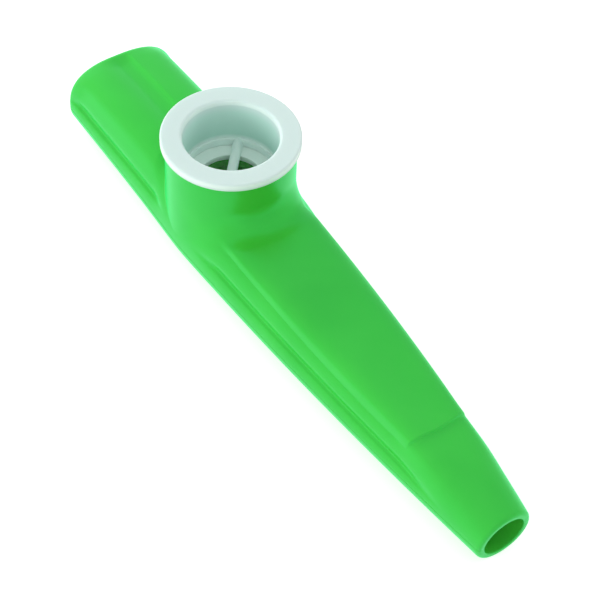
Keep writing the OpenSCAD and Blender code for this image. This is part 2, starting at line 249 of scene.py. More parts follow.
def right_outline(s, inset=0):
    """Right half of the outline at distances s: y and z for each column, the last on the
    middle plane. s has one column, or one for each column of the outline."""
    s = np.broadcast_to(s, s.shape[:-1] + (HALF,)).astype(float)
    a, b = half_width(s) - inset, top(s) - inset
    wide, high = a / half_width(s), b / top(s)
    step = side_step(s)
    side = a - step
    n = roundness(s) + SQUARE_SHARE * step / half_width(s)
    groove_z = groove_height(s) * high
    groove_r = GROOVE_R * step / SIDE_STEP
    groove_y = at_height(groove_z, side, b, n) + groove_r
    foot_y = (panel_half(s) + PANEL_EDGE) * wide
    edge_y = foot_y - PANEL_ROLL * wide
    foot_z = at_width(foot_y, side, b, n)
    foot_in = FOOT_IN * np.where(s < 0, 0, smooth((PANEL_END - s) / FOOT_FADE))
    foot_drop = at_width(foot_y - foot_in, side, b, n) - foot_z
    flute_y = FLUTE_HALF * panel_half(s) * wide / (PANEL_ROOT / 2)
    y, z = np.zeros(s.shape), np.zeros(s.shape)
    at = 0

    def zone(steps):
        nonlocal at
        i = (Ellipsis, slice(at, at + len(steps)))
        at += len(steps)
        return i

    def strip_y(i, turn):
        return a[i] - (a - groove_y)[i] * (1 - np.cos(turn)) / (1 - math.cos(STRIP_TURN))

    i = zone(EDGE_STEPS)
    z[i] = np.minimum(EDGE_STEPS, EDGE_SHARE * groove_z[i])
    y[i] = strip_y(i, np.arcsin(z[i] / groove_z[i] * math.sin(STRIP_TURN)))
    i = zone(STRIP_STEPS)
    turn = STRIP_TURN * STRIP_STEPS
    z[i] = groove_z[i] * np.sin(turn) / math.sin(STRIP_TURN)
    y[i] = strip_y(i, turn)
    i = zone(SIDE_STEPS)
    z[i] = groove_z[i] + (foot_z - groove_z)[i] * SIDE_STEPS
    rise = (z[i] - groove_z[i]) / high[i]
    bump = np.where(rise < SHOULDER_H, smooth(rise / SHOULDER_H),
                    1 - smooth((rise - SHOULDER_H) / SHOULDER_DROP))
    y[i] = (at_height(z[i], side[i], b[i], n[i])
            + SHOULDER_OUT * (step[i] / SIDE_STEP) * bump * (1 - SIDE_STEPS ** 4)
            + groove_r[i] * np.clip(1 - rise / GROOVE_RISE, 0, 1) ** FILLET_POW
            - foot_in[i] * SIDE_STEPS ** FOOT_POW)
    i = zone(SLOPE_STEPS)
    y[i] = foot_y[i] - foot_in[i] + (edge_y - foot_y + foot_in)[i] * SLOPE_STEPS
    roll = (1 - SLOPE_STEPS) ** ROLL_POW
    z[i] = (at_width(y[i], side[i], b[i], n[i]) + panel_rise(s[i], y[i]) * (1 - roll)
            - foot_drop[i] * roll)
    for steps, from_y, to_y in (
            (CROWN_STEPS, flute_y, edge_y), (FLUTE_STEPS, 0 * flute_y, flute_y)):
        i = zone(steps)
        y[i] = from_y[i] + (to_y - from_y)[i] * steps
        z[i] = at_width(y[i], side[i], b[i], n[i]) + panel_rise(s[i], y[i])
    return y, z


def plain_share(s, y, z):
    """How far a point lies out from the section's middle, as a share of the plain rounded
    outline without step, groove, panel and flute."""
    n = roundness(s)
    return ((np.abs(y) / half_width(s)) ** n + (np.clip(z, 0, None) / top(s)) ** n) ** (1 / n)


def plain_point(s):
    """Each column's place on the plain rounded outline, and its relief above that."""
    y, z = right_outline(s)
    share = plain_share(np.broadcast_to(s, y.shape), y, z)
    return y / share, z / share, y - y / share, z - z / share


def slope_of(rule, q, h=0.01):
    """Gradient of a rule of (s, y, z) at the points q."""
    steps = np.eye(3) * h
    return np.stack([(rule(q + d) - rule(q - d)) / (2 * h) for d in steps], -1)


def body_share(q):
    """Below 0 inside the plain body, above 0 outside."""
    return plain_share(q[..., 0], q[..., 1], q[..., 2]) - 1


def off_body(q):
    """Distance from the plain body, nearly."""
    return body_share(q) / np.linalg.norm(slope_of(body_share, q), axis=-1)


def off_wall(q):
    """Distance from the turret's wall."""
    return np.hypot(q[..., 0], q[..., 1]) - turret_wall(q[..., 2])


def off_fillet(q):
    """Distance from body and turret joined by a fillet, whose radius turns from wide to
    tight round the turret and shrinks where the two run side by side."""
    turn = np.arctan2(np.abs(q[..., 1]), q[..., 0])
    low, high = FILLET_TURN
    radius = FILLET_FRONT + (FILLET_BACK - FILLET_FRONT) * smooth((turn - low) / (high - low))
    n1 = slope_of(body_share, q)
    n1 /= np.linalg.norm(n1, axis=-1, keepdims=True)
    n2 = q * np.array([1, 1, 0])
    n2 /= np.linalg.norm(n2, axis=-1, keepdims=True)
    r = np.maximum(radius * (1 - (n1 * n2).sum(-1)), LEAST_FILLET)
    d1, d2 = off_body(q), off_wall(q)
    return (np.maximum(r, np.minimum(d1, d2))
            - np.hypot(np.maximum(r - d1, 0), np.maximum(r - d2, 0)))


def onto_fillet(q):
    """Moves points onto body, turret and fillet along the gradient, in Newton steps."""
    for _ in range(NEWTON_STEPS):
        g = slope_of(off_fillet, q)
        q = q - off_fillet(q)[..., None] * g / np.maximum((g * g).sum(-1), 0.25)[..., None]
    return q


# Mesh building

# Points closer than this, in metres, are one
WELD = 2e-6


class Skin:
    """Collects grids and flat faces, and welds them into one closed mesh."""

    def __init__(self):
        self.points, self.faces, self.count = [], [], 0

    def add(self, q):
        """Adds points and returns their numbers in the same layout."""
        q = np.asarray(q, float)
        n = q[..., 0].size
        self.points.append(q.reshape(-1, 3))
        index = np.arange(self.count, self.count + n).reshape(q.shape[:-1])
        self.count += n
        return index

    def grid(self, q, closed=False):
        """Adds a grid of points and its quads, closed on itself along the rows or not."""
        index = self.add(q)
        across = np.concatenate([index, index[:, :1]], 1) if closed else index
        quads = np.stack([
            across[:-1, :-1], across[1:, :-1], across[1:, 1:], across[:-1, 1:]], -1)
        self.faces += quads.reshape(-1, 4).tolist()

    def face(self, q):
        """Adds one flat face through a closed row of points."""
        self.faces.append(self.add(q).tolist())

    def mesh(self, name):
        """Welded mesh in metres in the part's frame, with its faces turned outward."""
        q = np.concatenate(self.points) + np.array([AXIS_X, 0, BELLY])
        made = bpy.data.meshes.new(name)
        made.from_pydata((q * MM).tolist(), [], self.faces)
        bm = bmesh.new()
        bm.from_mesh(made)
        bmesh.ops.remove_doubles(bm, verts=bm.verts, dist=WELD)
        bmesh.ops.recalc_face_normals(bm, faces=bm.faces)
        if bm.calc_volume(signed=True) < 0:
            bmesh.ops.reverse_faces(bm, faces=bm.faces)
        bm.to_mesh(made)
        bm.free()
        return made


def placed(name, mesh):
    """Object in the scene, at the origin, with its place in its mesh."""
    piece = bpy.data.objects.new(name, mesh)
    bpy.context.scene.collection.objects.link(piece)
    return piece


def plain_mesh(piece):
    """Puts the result of a piece's modifiers in its mesh, and removes them."""
    seen = bpy.context.evaluated_depsgraph_get()
    made = bpy.data.meshes.new_from_object(piece.evaluated_get(seen), depsgraph=seen)
    piece.modifiers.clear()
    piece.data = made


def combined(piece, operation, tool):
    """Cuts a tool from a piece, or joins it on, and removes the tool."""
    change = piece.modifiers.new(operation, "BOOLEAN")
    change.operation, change.solver, change.object = operation, "MANIFOLD", tool
    plain_mesh(piece)
    bpy.data.objects.remove(tool)


def mirrored(q):
    """Both halves of a grid whose columns run from the seam to the middle."""
    other = q[:, -2::-1] * np.array([1, -1, 1])
    return np.concatenate([q, other], 1)


def stacked(s, y, z):
    """Points from their three measures, which may differ in shape."""
    return np.stack(np.broadcast_arrays(np.broadcast_to(s, y.shape), y, z), -1)


def soft_seam(q, toward=1):
    """Rounds the edge at the seam: points close to it move towards the middle plane."""
    near = np.clip(SEAM_EDGE_R - toward * q[..., 2], 0, SEAM_EDGE_R)
    q = q.copy()
    q[..., 1] -= np.sign(q[..., 1]) * (SEAM_EDGE_R - np.sqrt(SEAM_EDGE_R ** 2 - near ** 2))
    return q


# Rows along the body

# Rows of the fan between the turret's wall and a plain row, as shares of the way
FAN_END = 24.0
FAN_STEPS = np.linspace(0, 1, 46) ** 1.25
ROW_GAP = 0.8
EDGE_TURNS = np.linspace(0, np.pi / 2, 9)
# Columns that meet the turret's wall nearer to its side than this stay below the wall
CLEAR_OF_SIDE = 2.4
FOOT_ROWS = 33
WALL_STEPS = np.linspace(0, 1, 46) ** 1.35
RIM_TURNS = np.linspace(0, np.pi / 2, 5)


def end_rows(end, radius):
    """Rows of the rounding round an end: distance and inset, going outward."""
    turns = EDGE_TURNS[::-1]
    return [(end - radius * (1 - math.cos(t)), radius * (1 - math.sin(t))) for t in turns]


def far_rows(side):
    """Distance and inset of the plain rows, from the fan's end outward."""
    if side > 0:
        plain = np.concatenate([
            np.arange(FAN_END, PANEL_END - 2 * ROW_GAP, ROW_GAP),
            np.linspace(PANEL_END - 2 * ROW_GAP, PANEL_END + 0.2, 25),
            np.linspace(PANEL_END + ROW_GAP, NARROW - LIP_EDGE_R - 0.4, 28)])
        return [(s, 0) for s in plain] + end_rows(NARROW, LIP_EDGE_R)
    plain = np.concatenate([
        np.arange(FAN_END, WIDE - FLUTE_FADE - 0.6, ROW_GAP),
        np.linspace(WIDE - FLUTE_FADE, WIDE - WIDE_EDGE_R - 0.2, 8)])
    return [(-s, 0) for s in plain] + [(-s, i) for s, i in end_rows(WIDE, WIDE_EDGE_R)]


def bisected(low, high, past):
    """Where a rule becomes true between the limits low and high, for each of their items."""
    for _ in range(BISECTIONS):
        middle = (low + high) / 2
        over = past(middle)
        low, high = np.where(over, low, middle), np.where(over, middle, high)
    return (low + high) / 2


def wall_crossing(side):
    """Where each column of the plain outline meets the turret's wall. Columns that pass
    it by get the lowest distance tried."""
    def outside(s):
        y, z, _, _ = plain_point(side * s[None, :])
        return off_wall(stacked(side * s[None, :], y, z))[0] > 0

    return bisected(np.full(HALF, 0.3), np.full(HALF, TURRET_R + 1.0), outside)


def relief_share(q):
    """Share of the relief that a point keeps, by its distance from the turret's wall."""
    run = np.where(q[..., 0] > 0, RELIEF_FRONT, RELIEF_BACK) - RELIEF_FROM
    return smooth((off_wall(q) - RELIEF_FROM) / run)[..., None]


def fan(side, start):
    """Rows from the turret's wall out to the last row of the fan, with their relief."""
    s = side * (start + (FAN_END - start) * FAN_STEPS[:, None])
    y, z, relief_y, relief_z = plain_point(s)
    q = stacked(s, y, z)
    relief = stacked(0 * s, relief_y, relief_z) * relief_share(q)
    return onto_fillet(q) + relief


def body_rows(side, start):
    """Rows of one half of the body, from the turret's wall out to the body's end."""
    far = np.concatenate([
        stacked(np.array([[s]]), *right_outline(np.array([[s]]), inset))
        for s, inset in far_rows(side)])
    rows = soft_seam(mirrored(np.concatenate([fan(side, start), far[1:]])))
    rows[..., 2] -= flute_cut(rows[..., 0], rows[..., 1]) * relief_share(rows)[..., 0]
    return rows


def foot_rows(back, front, first):
    """Strip under the turret's side, from the seam up to the wall: its rows, and its upper
    edge before the fillet moves it."""
    s = np.linspace(back, front, FOOT_ROWS)

    def inside(z):
        y = at_height(z, half_width(s), top(s), roundness(s))
        return np.hypot(s, y) <= turret_wall(z)

    meet = bisected(np.zeros(len(s)), np.full(len(s), GROOVE_MID + 2), inside)
    shares = []
    for at in (back, front):
        _, z, _, _ = plain_point(np.array([[at]]))
        shares.append(z[0, :first + 1] / z[0, first])
    way = ((s - back) / (front - back))[:, None]
    z = meet[:, None] * (shares[0] * (1 - way) + shares[1] * way)
    y = at_height(z, half_width(s)[:, None], top(s)[:, None], roundness(s)[:, None])
    plain = stacked(s[:, None], y, z)
    return onto_fillet(plain), plain[:, -1]


def turret_rows(ring):
    """Rows up the turret's wall from a ring round its foot, and those of the rounded rim."""
    turn = np.arctan2(ring[:, 1], ring[:, 0])

    def row(r, h):
        return np.stack([r * np.cos(turn), r * np.sin(turn), h + 0 * turn], -1)

    z = ring[:, 2] + (RIM - RIM_EDGE_R - ring[:, 2]) * WALL_STEPS[:, None]
    r = turret_wall(z)
    wall = onto_fillet(np.stack([r * np.cos(turn), r * np.sin(turn), z], -1))
    rim = [wall[-1]] + [
        row(turret_wall(RIM - RIM_EDGE_R) - RIM_EDGE_R * (1 - math.cos(t)),
            RIM - RIM_EDGE_R * (1 - math.sin(t))) for t in RIM_TURNS[1:]]
    return wall, np.stack(rim)


def upper_outer():
    """The upper shell's outer form with its turret, as one closed mesh."""
    skin = Skin()
    crossing = {side: wall_crossing(side) for side in (1, -1)}
    first = int(np.argmax(np.minimum(crossing[1], crossing[-1]) > CLEAR_OF_SIDE))
    loops, seams = [], []
    for side in (1, -1):
        start = np.where(np.arange(HALF) < first, crossing[side][first], crossing[side])
        rows = body_rows(side, start)
        skin.grid(rows)
        skin.face(rows[-1])
        s = side * start[None, :]
        y, z, _, _ = plain_point(s)
        loops.append(mirrored(stacked(s, y, z))[0, first:-first or None])
        seams.append((rows[:, 0], rows[:, -1]))

    foot, foot_edge = foot_rows(-crossing[-1][first], crossing[1][first], first)
    for hand in (1, -1):
        rows = soft_seam(foot * np.array([1, hand, 1]))
        skin.grid(rows)
        seams.append((rows[:, 0],))

    wall, rim = turret_rows(np.concatenate([
        loops[0],
        (foot_edge * np.array([1, -1, 1]))[::-1][1:-1],
        loops[1][::-1],
        foot_edge[1:-1]]))
    skin.grid(wall, closed=True)
    skin.grid(rim, closed=True)
    skin.face(rim[-1])

    # Flat underside along the seam
    (fr, fl), (br, bl), (right,), (left,) = seams
    skin.face(np.concatenate([fr[::-1], right[::-1][1:-1], br, bl[::-1], left[1:-1], fl]))
    return skin.mesh("upper_shell_form")


def loft(name, rings):
    """Closed form through a row of closed rings."""
    skin = Skin()
    skin.grid(rings, closed=True)
    skin.face(rings[0])
    skin.face(rings[-1])
    return placed(name, skin.mesh(name))


# Rooms and holes inside the shells

TURNS = np.linspace(0, 2 * np.pi, 240, endpoint=False)
INNER_EDGE_R = 0.2
ROOM_ROWS = 90


def rounding(radius, steps=5):
    """How far a rounded edge opens, and its distance below the face it opens in."""
    t = np.linspace(0, np.pi / 2, steps)
    return [(radius * (1 - math.sin(a)), radius * (1 - math.cos(a))) for a in t[::-1]]


def turned_tool(name, profile):
    """Round form on the turret's axis through points of radius and height."""
    return loft(name, np.array([
        np.stack([r * np.cos(TURNS), r * np.sin(TURNS), h + 0 * TURNS], -1) for r, h in profile]))


def chamber_width(s):
    """Half width of the room inside the shells over the seam."""
    return half_width(s) - side_step(s) - WALL


def chamber_ring(s, grow=0):
    """Section of that room, which an edge may open further by grow."""
    a, b, r = chamber_width(s) + grow, top(s) - WALL + grow, BELLY - WALL + grow
    n = roundness(s)
    down, up = np.linspace(np.pi / 2, 0, 13), np.linspace(0, np.pi / 2, 33)[1:]
    y = np.concatenate([a - r + r * np.cos(down), a * np.cos(up) ** (2 / n)])
    z = np.concatenate([-r * np.sin(down), b * np.sin(up) ** (2 / n)])
    y[-1] = 0
    half = np.stack([s + 0 * y, y, z], -1)
    return np.concatenate([half, half[-2::-1] * np.array([1, -1, 1])])


def chamber():
    """Room inside both shells without the block that carries the cup. Its edge at the
    mouth is rounded."""
    end = NARROW - OUTLET_BORE_LEN
    mouth = [(-WIDE - 1, INNER_EDGE_R)] + [
        (-WIDE + depth, open_by) for open_by, depth in rounding(INNER_EDGE_R)[::-1]]
    plain = [(s, 0) for s in np.linspace(-WIDE + 1, end, ROOM_ROWS)]
    room = loft("chamber", np.array([chamber_ring(s, grow) for s, grow in mouth + plain]))
    block_r, low = CUP_R + CUP_WALL, CUP_FLOOR - CUP_FLOOR_T
    edge = [(block_r - open_by, low + depth) for open_by, depth in rounding(INNER_EDGE_R)]
    combined(room, "DIFFERENCE", turned_tool("cup_block", edge[::-1] + [(block_r, RIM + 1)]))
    return room


def outlet_bore():
    """Round hole through the outlet end, with its edge rounded."""
    edge = [(NARROW - depth, OUTLET_BORE_R + open_by)
            for open_by, depth in rounding(INNER_EDGE_R)]
    rows = [(NARROW - OUTLET_BORE_LEN - 1, OUTLET_BORE_R)] + edge + [
        (NARROW + 1, OUTLET_BORE_R + INNER_EDGE_R)]
    return loft("outlet_bore", np.array([
        np.stack([s + 0 * TURNS, r * np.cos(TURNS), r * np.sin(TURNS)], -1) for s, r in rows]))


def upper_shell():
    """Upper half of the body with the turret, its cup and the throat in the cup's floor."""
    shell = placed("kazoo_upper_shell", upper_outer())
    combined(shell, "DIFFERENCE", chamber())
    cup = [(CUP_R, CUP_FLOOR)] + [
        (CUP_R + open_by, RIM - depth) for open_by, depth in rounding(INNER_EDGE_R)]
    combined(shell, "DIFFERENCE", turned_tool("cup", cup + [(CUP_R + INNER_EDGE_R, RIM + 1)]))
    low = CUP_FLOOR - CUP_FLOOR_T
    throat = [(THROAT_R + open_by, low + depth) for open_by, depth in rounding(INNER_EDGE_R)]
    throat = [(THROAT_R + INNER_EDGE_R, low - 1)] + throat[::-1] + [(THROAT_R, CUP_FLOOR + 1)]
    combined(shell, "DIFFERENCE", turned_tool("throat", throat))
    combined(shell, "DIFFERENCE", outlet_bore())
    return shell


def lower_half(s, inset):
    """Right half of the lower outline, from the seam round to the middle of the belly."""
    a, r = half_width(s) - inset, BELLY - inset
    t = np.concatenate([SEAM_EDGE_R / BELLY * np.array([0, 0.1, 0.4, 1]),
                        np.linspace(0.06, np.pi / 2, 22)])
    y = np.concatenate([a - r + r * np.cos(t), (a - r) * np.linspace(1, 0, 9)[1:]])
    z = np.concatenate([-r * np.sin(t), np.full(8, -r)])
    return np.stack([s + 0 * y, y, z], -1)


def lip_wall(hand, outer, inner, low, high, edge):
    """Thin wall along one side of the chamber, between two distances inward from its side
    and two heights, with its upper edges softened."""
    from_s, to_s = -WIDE + LOCATING_LIP_BACK, NARROW - OUTLET_BORE_LEN - LOCATING_LIP_BACK
    rings = []
    for s in np.linspace(from_s, to_s, ROOM_ROWS):
        w = chamber_width(s)
        ring = [(w - outer, low), (w - outer, high - edge), (w - outer - edge, high),
                (w - inner + edge, high), (w - inner, high - edge), (w - inner, low)]
        rings.append([(s, hand * y, z) for y, z in ring])
    return loft("lip_wall", np.array(rings))


def lower_shell():
    """Lower half of the body, with the lip that centres the upper half."""
    skin = Skin()
    plain = [(s, 0) for s in np.linspace(
        -WIDE + WIDE_EDGE_R + 0.6, NARROW - LIP_EDGE_R - 0.6, 130)]
    ends = [(-s, i) for s, i in end_rows(WIDE, WIDE_EDGE_R)][::-1]
    rows = np.array([lower_half(s, i) for s, i in ends + plain + end_rows(NARROW, LIP_EDGE_R)])
    rows = soft_seam(mirrored(rows), -1)
    skin.grid(rows)
    for row in (rows[0], rows[-1]):
        skin.face(row)
    skin.face(np.concatenate([rows[:, 0], rows[::-1, -1]]))
    shell = placed("kazoo_lower_shell", skin.mesh("lower_shell_form"))
    combined(shell, "DIFFERENCE", chamber())
    combined(shell, "DIFFERENCE", outlet_bore())
    lip, gap, foot = LOCATING_LIP_T, LOCATING_LIP_GAP, -2 * LOCATING_LIP_T
    for hand in (1, -1):
        combined(shell, "UNION", lip_wall(
            hand, gap, gap + lip, foot, LOCATING_LIP_H, LOCATING_LIP_EDGE))
        combined(shell, "UNION", lip_wall(
            hand, -WALL / 2, gap + lip / 2, 0.85 * foot, -lip / 4, ROOT_EDGE))
    return shell


# Nodes


def add(tree, kind, links=None, **settings):
    """Adds a node with its settings, and links or sets its inputs."""
    node = tree.nodes.new(kind)
    for name, value in settings.items():
        setattr(node, name, value)
    for name, value in (links or {}).items():
        if isinstance(value, bpy.types.NodeSocket):
            tree.links.new(value, node.inputs[name])
        else:
            node.inputs[name].default_value = value
    return node


# Turned pieces: cap, membrane ring and film


def turning_tree():
    """A turned moulding: a closed profile goes once round the turret's axis, with its
    corners rounded. The profile is drawn in X and Y: out from the path, and down."""
    tree = bpy.data.node_groups.new("turned_moulding", "GeometryNodeTree")
    for name, kind, value in (
            ("Profile", "Geometry", None), ("Path radius", "Float", 0.01),
            ("Segments", "Int", 256), ("Edge radius", "Float", 0.0001),
            ("Edge steps", "Int", 3), ("Finish", "Material", None)):
        socket = tree.interface.new_socket(name, in_out="INPUT", socket_type="NodeSocket" + kind)
        if value is not None:
            socket.default_value = value
    tree.interface.new_socket("Moulding", in_out="OUTPUT", socket_type="NodeSocketGeometry")
    given = add(tree, "NodeGroupInput").outputs
    profile = add(tree, "GeometryNodeMeshToCurve", {"Mesh": given["Profile"]})
    rounded = add(tree, "GeometryNodeFilletCurve", {
        "Curve": profile.outputs[0], "Count": given["Edge steps"],
        "Radius": given["Edge radius"], "Limit Radius": True}, mode="POLY")
    path = add(tree, "GeometryNodeCurvePrimitiveCircle", {
        "Resolution": given["Segments"], "Radius": given["Path radius"]})
    swept = add(tree, "GeometryNodeCurveToMesh", {
        "Curve": path.outputs[0], "Profile Curve": rounded.outputs[0]})
    welded = add(tree, "GeometryNodeMergeByDistance", {
        "Geometry": swept.outputs[0], "Distance": WELD / 2})
    real = add(tree, "GeometryNodeRealizeInstances", {0: welded.outputs[0]})
    dressed = add(tree, "GeometryNodeSetMaterial", {
        "Geometry": real.outputs[0], "Material": given["Finish"]})
    add(tree, "NodeGroupOutput", {0: dressed.outputs[0]})
    return tree


def turned(name, tree, profile, finish, edge, steps=3, segments=288):
    """Turned piece whose profile is a list of radius and height above the seam, in mm."""
    path_r = sum(r for r, _ in profile) / len(profile)
    points = [((r - path_r) * MM, -h * MM, 0) for r, h in profile]
    mesh = bpy.data.meshes.new(name)
    mesh.from_pydata(points, [(i, (i + 1) % len(points)) for i in range(len(points))], [])
    piece = placed(name, mesh)
    turn = piece.modifiers.new("turned", "NODES")
    turn.node_group = tree
    values = {"Path radius": path_r * MM, "Segments": segments, "Edge radius": edge * MM,
              "Edge steps": steps, "Finish": finish}
    for item in tree.interface.items_tree:
        if item.name in values:
            turn[item.identifier] = values[item.name]
    plain_mesh(piece)
    bm = bmesh.new()
    bm.from_mesh(piece.data)
    # A profile that touches the axis leaves its own edge there, bare
    bmesh.ops.delete(bm, geom=[e for e in bm.edges if not e.link_faces], context="EDGES")
    bmesh.ops.translate(bm, verts=bm.verts, vec=(AXIS_X * MM, 0, BELLY * MM))
    bmesh.ops.recalc_face_normals(bm, faces=bm.faces)
    bm.to_mesh(piece.data)
    bm.free()
    return piece


# The cap's sizes

CAP_GAP, CAP_BORE_R, CAP_LEAD, LAND_R, LAND_H = 0.05, 8.3, 0.35, 7.9, 1.5
FLANGE_EDGE_R, BORE_EDGE_R, CAP_EDGE_R, RING_EDGE_R = 0.35, 0.5, 0.12, 0.15
# The crossbar's width, height and plain foot, its rise over the land and the run of that
BAR_W, BAR_H, BAR_FOOT, BAR_OVER, BAR_RUN = 1.8, 1.2, 0.3, 0.2, 2.5
BAR_TURN = math.radians(-41)


def crossbar(reach):
    """Half-round bar across the bottom of the cap, which rises slightly over the land at
    both ends."""
    rings = []
    along = np.array([math.cos(BAR_TURN), math.sin(BAR_TURN)])
    across = np.array([-along[1], along[0]])
    half, t = BAR_W / 2, np.linspace(0, np.pi, 19)
    for x in np.linspace(-reach, reach, 81):
        high = BAR_H + (LAND_H + BAR_OVER - BAR_H) * smooth((abs(x) - LAND_R + BAR_RUN) / BAR_RUN)
        y = np.concatenate([[-half, half], half * np.cos(t)])
        z = RIM - SKIRT + np.concatenate([[0, 0], BAR_FOOT + (high - BAR_FOOT) * np.sin(t)])
        flat = x * along + y[:, None] * across
        rings.append(np.column_stack([flat, z]))
    return loft("crossbar", np.array(rings))


def cap(tree, finish):
    """Push-in cap: a rounded flange, a skirt down into the cup, and a crossbar on a
    narrower land at the bottom of the bore."""
    skirt_r, bottom, top_h = CUP_R - CAP_GAP, RIM - SKIRT, RIM + FLANGE_T
    outer = [(FLANGE_R - FLANGE_EDGE_R * (1 - math.cos(t)),
              top_h - FLANGE_EDGE_R * (1 - math.sin(t)))
             for t in np.linspace(0, np.pi / 2, 9)]
    inner = [(CAP_BORE_R + BORE_EDGE_R * (1 - math.cos(t)),
              top_h - BORE_EDGE_R * (1 - math.sin(t)))
             for t in np.linspace(np.pi / 2, 0, 8)]
    profile = ([(LAND_R, bottom), (skirt_r - CAP_LEAD, bottom), (skirt_r, bottom + CAP_LEAD),
                (skirt_r, RIM), (FLANGE_R, RIM)] + outer + inner
               + [(CAP_BORE_R, bottom + LAND_H), (LAND_R, bottom + LAND_H)])
    piece = turned("kazoo_cap", tree, profile, finish, CAP_EDGE_R)
    combined(piece, "UNION", crossbar((skirt_r + LAND_R) / 2))
    return piece


def membrane_ring(tree, finish):
    """Flat ring that carries the film over the throat."""
    low, high = ring_low[2] - BELLY, ring_high[2] - BELLY
    profile = [(THROAT_R, low), (RING_R, low), (RING_R, high), (THROAT_R, high)]
    return turned("membrane_ring_washer", tree, profile, finish, RING_EDGE_R)


def membrane_film(tree, finish):
    """Thin round film under the ring."""
    low, high = film_low[2] - BELLY, film_high[2] - BELLY
    profile = [(0, low), (FILM_R, low), (FILM_R, high), (0, high)]
    return turned("membrane_film_disc", tree, profile, finish, (high - low) / 3,
                  steps=1, segments=160)


# Finishes


def linear(code):
    """Linear colour from an sRGB hex value."""
    parts = [int(code[i:i + 2], 16) / 255 for i in (1, 3, 5)]
    return [p / 12.92 if p <= 0.04045 else ((p + 0.055) / 1.055) ** 2.4 for p in parts] + [1]


def per_mm(size):
    """Noise scale whose features are about this many mm across."""
    return 1 / (size * MM)


def new_finish(name):
    """Empty material, and its node tree."""
    finish = bpy.data.materials.new(name)
    finish.use_nodes = True
    finish.node_tree.nodes.clear()
    return finish, finish.node_tree


def moulded_skin(tree, ripple_mm, depth_mm, gloss_mm, rough):
    """Fine ripple of a moulded face as a bump, and roughness that drifts over it between
    the two values in rough."""
    place = add(tree, "ShaderNodeTexCoord").outputs["Object"]
    ripple = add(tree, "ShaderNodeTexNoise", {
        "Vector": place, "Scale": per_mm(ripple_mm), "Detail": 2.0, "Roughness": 0.45})
    bump = add(tree, "ShaderNodeBump", {
        "Height": ripple.outputs["Fac"], "Strength": 1.0, "Distance": depth_mm * MM})
    drift = add(tree, "ShaderNodeTexNoise", {
        "Vector": place, "Scale": per_mm(gloss_mm), "Detail": 3.0, "Roughness": 0.6})
    roughness = add(tree, "ShaderNodeMapRange", {
        "Value": drift.outputs["Fac"], "From Min": 0.3, "From Max": 0.7,
        "To Min": rough[0], "To Max": rough[1]})
    return place, bump.outputs["Normal"], roughness.outputs["Result"]


def glossy_green_styrene():
    """Green high-impact polystyrene from a polished mould: a soft gloss that keeps the
    pigment's colour, since the plastic lets light a little way in, and a colour that drifts
    very slightly with the flow of the melt."""
    finish, tree = new_finish("glossy_green_styrene")
    # Roughness under 0.28 leaves small dark specks in the denoised picture
    place, normal, roughness = moulded_skin(
        tree, ripple_mm=1.6, depth_mm=0.003, gloss_mm=14, rough=(0.285, 0.335))
    flow = add(tree, "ShaderNodeTexNoise", {
        "Vector": place, "Scale": per_mm(26), "Detail": 2.0, "Distortion": 1.2})
    share = add(tree, "ShaderNodeMapRange", {
        "Value": flow.outputs["Fac"], "From Min": 0.35, "From Max": 0.65})
    colour = add(tree, "ShaderNodeMix", {
        "Factor": share.outputs["Result"], 6: linear("#40B937"), 7: linear("#45C03C")},
        data_type="RGBA")
    body = add(tree, "ShaderNodeBsdfPrincipled", {
        "Base Color": colour.outputs[2], "Roughness": roughness, "Normal": normal,
        "IOR": 1.55, "Specular IOR Level": 0.1, "Specular Tint": linear("#55FFA0"),
        "Subsurface Weight": 0.2, "Subsurface Radius": (0.4, 1.0, 0.3),
        "Subsurface Scale": 0.8 * MM})
    # The pigment tints the shine, as in the photograph
    shine = add(tree, "ShaderNodeBsdfGlossy", {
        "Color": linear("#38FFA6"), "Roughness": roughness, "Normal": normal})
    share = add(tree, "ShaderNodeFresnel", {"IOR": 1.85, "Normal": normal})
    shader = add(tree, "ShaderNodeMixShader", {
        0: share.outputs[0], 1: body.outputs[0], 2: shine.outputs[0]})
    add(tree, "ShaderNodeOutputMaterial", {"Surface": shader.outputs[0]})
    return finish


# Painted light and shade of the white cap at shares of its height, from the crossbar up to the
# flange: a lighter bar and land against their shade, a green tint on the skirt for light through
# the green cup, and a flange side painted lighter than its top
CAP_PAINTED_LIGHT_TINTS = (
    (0, "#EAFAF4"), (0.17, "#E6F8F2"), (0.24, "#BFE6DA"), (0.72, "#C5E8DE"),
    (0.88, "#D2E7E3"), (0.91, "#E9F9F4"), (0.955, "#E9F9F4"), (0.985, "#D6EAE6"))


